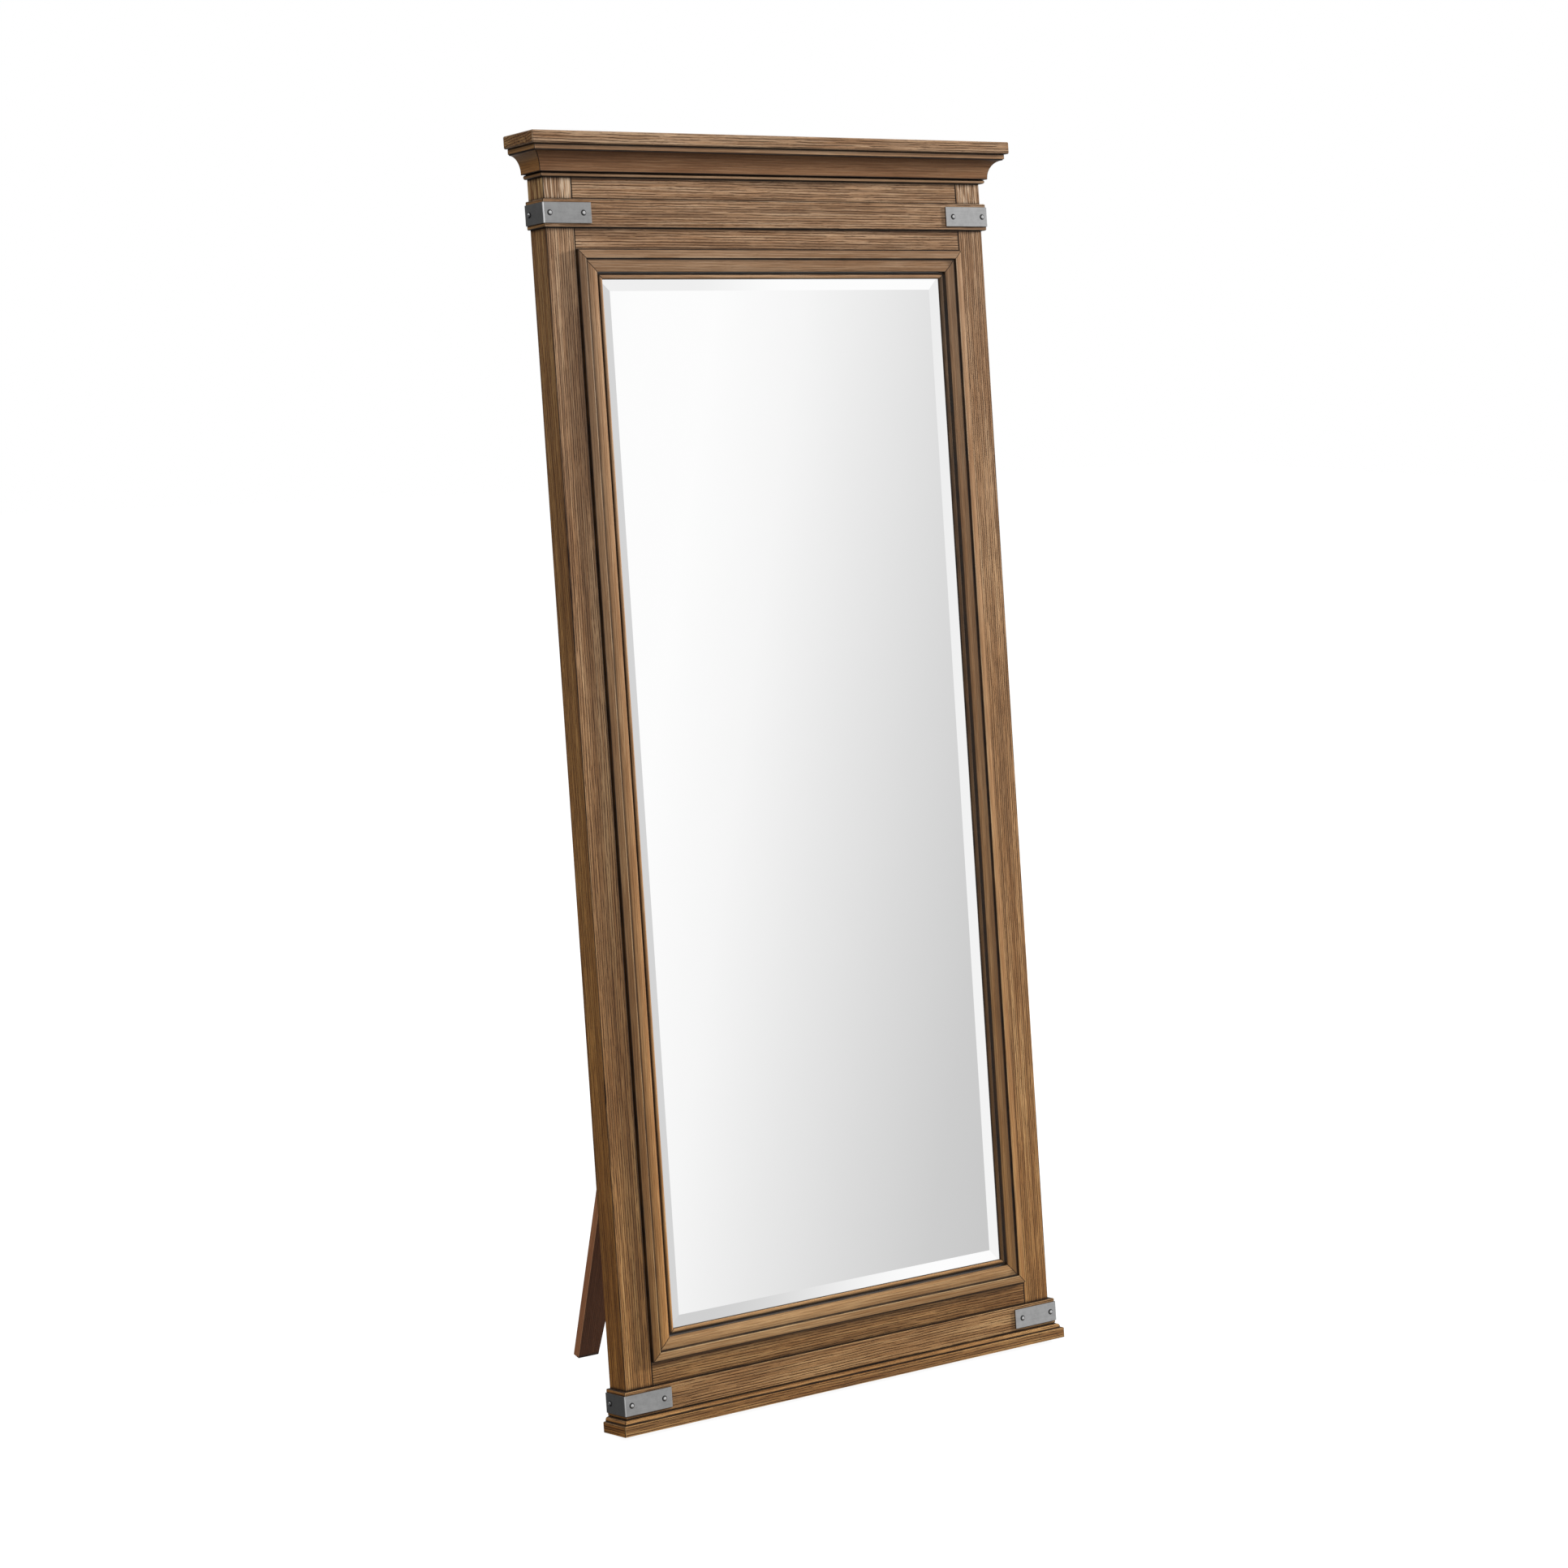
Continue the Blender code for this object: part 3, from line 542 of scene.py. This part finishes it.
def mitre_corners(node):
    """Mitred corners of a piece, as (|x|, axis, position, direction), in upright coordinates."""
    if node.startswith("surround"):
        low, _ = upright_box("surround_bottom", FRAME_LEAN)
        _, high = upright_box("surround_top", FRAME_LEAN)
        return ((high.x, "Z", low.z, -1.0), (high.x, "Z", high.z, 1.0))
    if node.startswith(("crown_", "neck", "belt", "plinth", "shoe")) and node != "crown_cap":
        low, high = upright_box("post_right", FRAME_LEAN)
        return ((high.x, "Y", low.y, -1.0),)
    return ()


def rubbed_box(node, lean):
    """The box whose edges are rubbed: for the mirror surround, its outer face's inner edge."""
    if node.startswith("post") or node.endswith("_rail"):
        return None
    low, high = upright_box(node, lean)
    if node == "surround_left":
        low.x += SURROUND_FACE
    elif node == "surround_right":
        high.x -= SURROUND_FACE
    elif node == "surround_bottom":
        low.z += SURROUND_FACE
    elif node == "surround_top":
        high.z -= SURROUND_FACE
    return low, high


def grain_of(node):
    """The direction that a piece's grain runs in."""
    if node.startswith(("post", "easel_leg")) or node in ("surround_left", "surround_right"):
        return "z"
    if node.endswith(("_left", "_right")):
        return "y"
    return "x"


def board_tint_and_cove_shade(node):
    """A board's own tint, which paints shade into the crown's cove, and the height that it stays
    below, which spares the crown's fillet.
    """
    if node not in BOARD_TINTS_AND_COVE_SHADE:
        return None
    _, high = upright_box(node, FRAME_LEAN)
    moulding = node.startswith("crown_") and node != "crown_cap"
    ceiling = high.z - CROWN_FILLET if moulding else high.z + TINT_MARGIN
    return BOARD_TINTS_AND_COVE_SHADE[node], ceiling


def paint(node, material):
    NODES[node].data.materials.clear()
    NODES[node].data.materials.append(material)


def soften(node, width):
    """Welds the imported mesh, rounds its arrises and smooths its shading."""
    piece = NODES[node]
    weld = piece.modifiers.new("weld", "WELD")
    weld.merge_threshold = 0.00001
    bevel = piece.modifiers.new("arris", "BEVEL")
    bevel.width = width
    bevel.segments = ARRIS_SEGMENTS
    bevel.limit_method = "ANGLE"
    bevel.angle_limit = math.radians(34)
    bevel.use_clamp_overlap = True
    smooth = piece.modifiers.new("smooth", "NODES")
    smooth.node_group = smooth_group()
    even = piece.modifiers.new("even", "WEIGHTED_NORMAL")
    even.keep_sharp = True
    even.weight = 100


def smooth_group():
    """A geometry node group that shades smooth except across edges over 30 degrees."""
    name = "smooth_by_angle"
    if name in bpy.data.node_groups:
        return bpy.data.node_groups[name]
    group = bpy.data.node_groups.new(name, "GeometryNodeTree")
    group.interface.new_socket("Geometry", in_out="INPUT", socket_type="NodeSocketGeometry")
    group.interface.new_socket("Geometry", in_out="OUTPUT", socket_type="NodeSocketGeometry")
    nodes, links = group.nodes, group.links
    start = nodes.new("NodeGroupInput")
    end = nodes.new("NodeGroupOutput")
    plain = nodes.new("GeometryNodeSetMeshNormal")
    plain.inputs["Remove Custom"].default_value = True
    faces = nodes.new("GeometryNodeSetShadeSmooth")
    edges = nodes.new("GeometryNodeSetShadeSmooth")
    edges.domain = "EDGE"
    edges.inputs["Shade Smooth"].default_value = False
    angle = nodes.new("GeometryNodeInputMeshEdgeAngle")
    sharp = nodes.new("FunctionNodeCompare")
    sharp.inputs["B"].default_value = math.radians(30)
    links.new(angle.outputs["Unsigned Angle"], sharp.inputs["A"])
    links.new(sharp.outputs["Result"], edges.inputs["Selection"])
    links.new(start.outputs[0], plain.inputs["Mesh"])
    links.new(plain.outputs["Mesh"], faces.inputs["Geometry"])
    links.new(faces.outputs["Geometry"], edges.inputs["Geometry"])
    links.new(edges.outputs["Geometry"], end.inputs[0])
    return group


def finish_wood():
    wooden = [row for row in frame["record"]["subparts"]
              if row["material_slot"] in ("stained_wood", "stand_wood")]
    for seed, row in enumerate(wooden):
        node = row["node"]
        on_stand = row["material_slot"] == "stand_wood"
        tones = STAND_TONES if on_stand else FRAME_TONES
        lean = -STAND_LEAN if node.startswith("easel") else FRAME_LEAN
        moulded = node.startswith(("surround", "crown_", "neck")) and node != "crown_cap"
        depth = FAINT_GRAIN if on_stand or moulded else 1.0
        lines = () if on_stand else joint_lines(node)
        mitres = () if on_stand else mitre_corners(node)
        sheen_heights = SHEEN_HEIGHTS if node.startswith("post") else None
        material = wood(
            f"{node}_wood", grain_of(node), lean, seed + 1, tones, depth,
            rubbed_box(node, lean), lines, mitres, sheen_heights, board_tint_and_cove_shade(node),
        )
        paint(node, material)
        soften(node, STAND_ARRIS if on_stand else FRAME_ARRIS)
        if node.startswith("surround"):
            NODES[node].visible_glossy = False


# ---------------------------------------------------------------- finishes for metal and boards

# Each strap's tone, lighter on the right as painted light, and the strength of the highlight
# painted on its upright arrises
STRAP_TONE_AND_HIGHLIGHT = {
    "strap_upper_left": (0.35, 0.9), "strap_upper_right": (0.50, 0.3),
    "strap_lower_left": (0.36, 0.4), "strap_lower_right": (0.43, 0.3),
}
STRAP_SCREW_RADIUS = 0.0036
STRAP_SCREW_HEIGHT = 0.0021


def screw_seats(strap):
    """Where the three screws of a strap stand in it."""
    strap_low, strap_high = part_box(strap)
    seats = []
    for spot in ("post", "rail", "side"):
        screw = f"{strap.replace('strap', 'screw')}_{spot}"
        low, high = (Vector(corner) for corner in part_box(screw))
        middle = (low + high) / 2
        if spot == "side":
            middle.x = strap_high[0] if middle.x > 0 else strap_low[0]
        else:
            middle.y = low.y + STRAP_SCREW_HEIGHT
            middle.z = high.z - STRAP_SCREW_RADIUS
        seats.append(tuple(middle))
    return seats


def finish_metal_and_boards():
    screws = {
        axis: brushed_metal(f"screw_steel_{axis.lower()}", 0.62, 0.16, 2, 0.1, domed=axis)
        for axis in ("X", "Y")
    }
    hinge = brushed_metal("hinge_steel", 0.55, 0.28, along=0)
    board = fibreboard("brown_fibreboard")
    glass = silvered_glass("silvered_glass")
    # Each slot's material and the width of its rounded arrises
    by_slot = {
        "brushed_steel": (None, 0.0006), "bright_steel": (None, 0.0002),
        "hinge_steel": (hinge, 0.0002), "backing_board": (board, 0.0004),
        "silvered_glass": (glass, None),
    }
    for row in frame["record"]["subparts"]:
        if row["material_slot"] not in by_slot:
            continue
        material, width = by_slot[row["material_slot"]]
        node = row["node"]
        if node in STRAP_TONE_AND_HIGHLIGHT:
            tone, arris_highlight = STRAP_TONE_AND_HIGHLIGHT[node]
            material = brushed_metal(
                f"{node}_steel", tone, 0.30, along=0, screws=screw_seats(node), arris_highlight=arris_highlight)
        elif node.startswith("screw"):
            material = screws["X" if node.endswith("side") else "Y"]
        paint(node, material)
        if width:
            soften(node, width)


# ---------------------------------------------------------------- hinge screws

LEAF_THICKNESS = 0.0016

# From the middle of a leaf's bottom edge, across and up
SCREW_SPOTS = ((-0.017, 0.009), (0.0, 0.024), (0.017, 0.009))

# Half section of a head as (radius, height), from its rim to its middle
HEAD_PROFILE = ((0.0021, -0.0002), (0.0024, 0.0), (0.0019, 0.00022), (0.0010, 0.00030))
HEAD_TOP = 0.00032
HEAD_STEPS = 24
SLOT_HALF_WIDTH = 0.0003
SLOT_WALL = 0.00004
SLOT_FLOOR = 0.00001


def add_screw_head(mesh, centre, outward):
    """A low slotted head, standing on centre and facing outward along y."""
    head = bmesh.new()
    rings = []
    angles = [2 * math.pi * step / HEAD_STEPS for step in range(HEAD_STEPS)]
    for radius, height in HEAD_PROFILE:
        rings.append([head.verts.new((radius * math.cos(a), height, radius * math.sin(a)))
                      for a in angles])
    top = head.verts.new((0.0, HEAD_TOP, 0.0))
    base = head.verts.new((0.0, HEAD_PROFILE[0][1], 0.0))
    for step in range(HEAD_STEPS):
        after = (step + 1) % HEAD_STEPS
        for lower, upper in zip(rings, rings[1:]):
            head.faces.new((lower[step], lower[after], upper[after], upper[step]))
        head.faces.new((rings[-1][step], rings[-1][after], top))
        head.faces.new((rings[0][after], rings[0][step], base))
    walls = SLOT_HALF_WIDTH + SLOT_WALL
    for level in (-walls, -SLOT_HALF_WIDTH, SLOT_HALF_WIDTH, walls):
        parts = head.verts[:] + head.edges[:] + head.faces[:]
        bmesh.ops.bisect_plane(
            head, geom=parts, dist=1e-7, plane_co=(0.0, 0.0, level), plane_no=(0.0, 0.0, 1.0))
    for vert in head.verts:
        if abs(vert.co.z) < SLOT_HALF_WIDTH + SLOT_WALL / 2 and vert.co.y > SLOT_FLOOR:
            vert.co.y = SLOT_FLOOR
    for vert in head.verts:
        vert.co = Vector((vert.co.x, vert.co.y * outward, vert.co.z)) + centre
    bmesh.ops.recalc_face_normals(head, faces=head.faces[:])
    loose = bpy.data.meshes.new("screw_head")
    head.to_mesh(loose)
    head.free()
    mesh.from_mesh(loose)
    bpy.data.meshes.remove(loose)


def add_hinge_screws():
    """Three heads on the face of each hinge leaf that the other leaf closes over."""
    leaves = (("frame", FRAME_LEAN, 1, "frame"), ("leg", -STAND_LEAN, -1, "stand"))
    for kind, lean, outward, body in leaves:
        for side in ("left", "right"):
            leaf = f"hinge_{kind}_leaf_{side}"
            low, high = upright_box(leaf, lean)
            face = low.y + LEAF_THICKNESS if outward > 0 else high.y - LEAF_THICKNESS
            heads = bmesh.new()
            for across, up in SCREW_SPOTS:
                centre = Vector(((low.x + high.x) / 2 + across, face, low.z + up))
                add_screw_head(heads, centre, outward)
            bmesh.ops.rotate(
                heads, cent=(0.0, 0.0, 0.0), matrix=Matrix.Rotation(-lean, 3, "X"),
                verts=heads.verts)
            mesh = bpy.data.meshes.new(f"{leaf.replace('_leaf', '')}_screws")
            heads.to_mesh(mesh)
            heads.free()
            mesh.transform(NODES[leaf].matrix_world)
            mesh.materials.append(NODES[leaf].data.materials[0])
            piece = bpy.data.objects.new(mesh.name, mesh)
            bpy.context.scene.collection.objects.link(piece)
            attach(piece, body)


# ---------------------------------------------------------------- stage, light, camera

FLOOR_SIZE = 40.0
FLOOR_DROP = 0.0004

# Grey levels round the studio, as (azimuth in degrees, display level): white in front, a grey
# flat to the front right, dark behind on the left
STUDIO_STOPS = (
    (-180.0, 96), (-70.0, 88), (-35.0, 255), (14.0, 255), (21.0, 214), (29.2, 214),
    (31.2, 255), (34.4, 255), (37.4, 226), (40.2, 199), (44.2, 200), (46.5, 236),
    (50.0, 247), (120.0, 230), (180.0, 150),
)

# How far the levels turn with each degree of elevation
STUDIO_SLANT = -0.28

# Name, place, target, size and watts of each area light
LIGHTS = (
    ("key_right", (11.6, -1.9, 4.4), (0.0, 0.0, 1.0), (1.0, 2.4), 3300.0),
    ("front_top", (-0.6, -3.6, 3.4), (0.0, 0.0, 0.9), (2.6, 1.6), 52.0),
    ("back_fill", (0.0, 4.6, 3.0), (0.0, 0.0, 0.9), (3.0, 2.0), 70.0),
)


def add_floor():
    """A pale floor that only the camera sees."""
    bpy.ops.mesh.primitive_plane_add(size=FLOOR_SIZE, location=(0.0, 0.0, -FLOOR_DROP))
    floor = bpy.context.object
    floor.name = "floor"
    material = bpy.data.materials.new("pale_floor")
    t = Tree(material)
    t.surface(t.node("ShaderNodeBsdfPrincipled", {
        "Base Color": grey(0.15), "Roughness": 0.9, "Specular IOR Level": 0.0,
        "Emission Color": grey(1.0), "Emission Strength": 0.945,
    }))
    floor.data.materials.append(material)
    floor.visible_glossy = False
    floor.visible_diffuse = False


def add_world():
    """White to the camera, softer as fill, and a toned studio for what polished faces reflect."""
    world = bpy.data.worlds.new("studio")
    bpy.context.scene.world = world
    t = Tree(world)
    direction = t.node("ShaderNodeTexCoord").outputs["Generated"]
    parts = t.node("ShaderNodeSeparateXYZ", {"Vector": direction})
    turn = t.math("ARCTAN2", parts.outputs["X"], t.math("MULTIPLY", parts.outputs["Y"], -1.0))
    azimuth = t.math("MULTIPLY", turn, 180.0 / math.pi)
    elevation = t.math("MULTIPLY", t.math("ARCSINE", parts.outputs["Z"]), 180.0 / math.pi)
    studio = studio_levels(t, azimuth, elevation)
    path = t.node("ShaderNodeLightPath")
    ambient = t.mix(t.remap(elevation, -30.0, 20.0), grey(0.12), grey(0.50))
    level = t.mix(path.outputs["Is Diffuse Ray"], studio, ambient)
    level = t.mix(path.outputs["Is Camera Ray"], level, grey(1.0))
    background = t.node("ShaderNodeBackground", {"Color": level, "Strength": 1.0})
    output = t.node("ShaderNodeOutputWorld")
    t.tree.links.new(background.outputs[0], output.inputs["Surface"])


def studio_levels(t, azimuth, elevation):
    """The studio's grey levels: the stops at eye level, plainer fields low down and high up."""
    slant = t.math("MULTIPLY_ADD", elevation, STUDIO_SLANT, azimuth)
    ramp = t.node("ShaderNodeValToRGB")
    elements = ramp.color_ramp.elements
    while len(elements) < len(STUDIO_STOPS):
        elements.new(1.0)
    for element, (angle, _) in zip(elements, STUDIO_STOPS):
        element.position = (angle + 180.0) / 360.0
    for element, (_, level) in zip(elements, STUDIO_STOPS):
        element.color = srgb(level, level, level)
    t.feed(ramp.inputs["Fac"], t.math("MULTIPLY_ADD", slant, 1.0 / 360.0, 0.5))
    low_flat = t.remap(azimuth, 35.2, 39.0, 0.64, 1.0)
    high_flat = t.remap(azimuth, 37.4, 39.2, 0.88, 1.0)
    below = t.math("MULTIPLY", t.remap(elevation, -8.5, -11.5), t.remap(azimuth, -75.0, -40.0))
    levels = t.mix(below, ramp.outputs["Color"], low_flat)
    levels = t.mix(t.remap(elevation, 12.5, 15.5), levels, high_flat)
    return t.mix(t.remap(elevation, -24.0, -40.0, 0.0, 0.75), levels, grey(0.03))


def add_lights():
    """Soft lights that polished faces don't reflect."""
    for name, place, target, size, power in LIGHTS:
        data = bpy.data.lights.new(name, "AREA")
        data.shape = "RECTANGLE"
        data.size, data.size_y = size
        data.energy = power
        light = bpy.data.objects.new(name, data)
        bpy.context.scene.collection.objects.link(light)
        light.location = place
        aim = Vector(target) - Vector(place)
        light.rotation_euler = aim.to_track_quat("-Z", "Y").to_euler()
        light.visible_glossy = False


def add_camera():
    data = bpy.data.cameras.new("camera")
    data.sensor_width = SENSOR_WIDTH
    data.lens = CAMERA_LENS
    data.clip_end = 100.0
    camera = bpy.data.objects.new("camera", data)
    camera.location = CAMERA_PLACE
    camera.rotation_euler = Euler((math.pi / 2 + CAMERA_PITCH, 0.0, CAMERA_YAW))
    bpy.context.scene.collection.objects.link(camera)
    bpy.context.scene.camera = camera


finish_wood()
finish_metal_and_boards()
add_hinge_screws()
add_floor()
add_world()
add_lights()
add_camera()
bpy.context.scene.view_settings.view_transform = "Standard"
